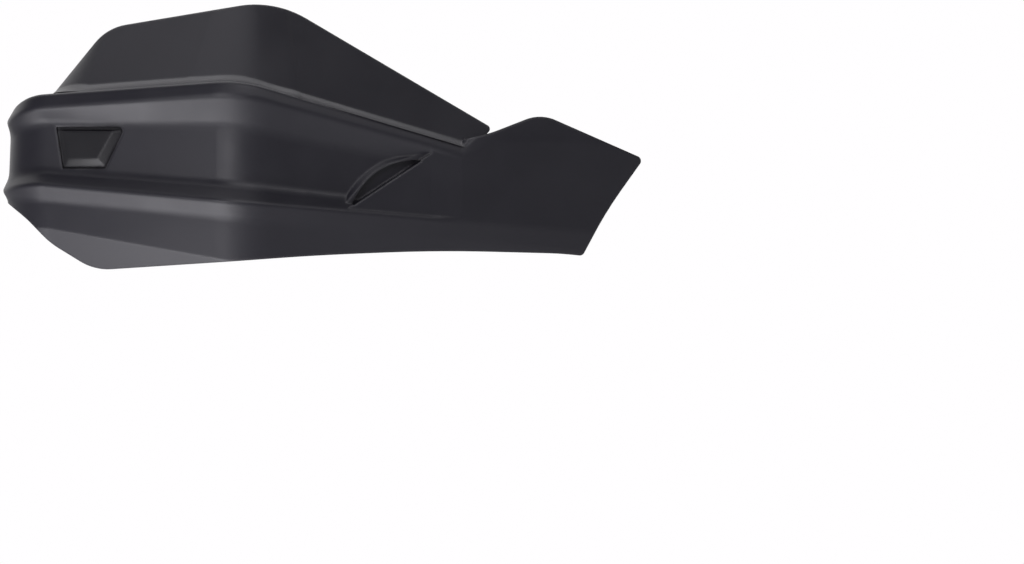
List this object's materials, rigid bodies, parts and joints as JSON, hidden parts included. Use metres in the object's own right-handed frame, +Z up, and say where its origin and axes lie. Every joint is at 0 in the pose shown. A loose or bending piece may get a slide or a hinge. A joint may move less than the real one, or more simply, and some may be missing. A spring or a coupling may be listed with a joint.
{
  "type": "motorcycle hand guard",
  "caption": "Bent moulded hand guard for a motorcycle handlebar, with a raised wing, a sunken pointed channel holding a clipped-in blank, a tail and threaded bosses behind.",
  "frame": {"origin": "midway between the two threaded inserts, on the rear faces of their bosses", "axes": "+X inboard along the handlebar, +Y back towards the rider, +Z up; the front of the guard faces -Y"},
  "size_m": [0.3009, 0.0769, 0.1248],
  "materials": {
    "shell": "satin black moulded plastic",
    "blank": "satin black moulded plastic",
    "inserts": "turned brass"
  },
  "bodies": {
    "root": {"guard_shell": "shell", "accessory_blank": "blank", "threaded_inserts": "inserts"}
  },
  "joints": []
}
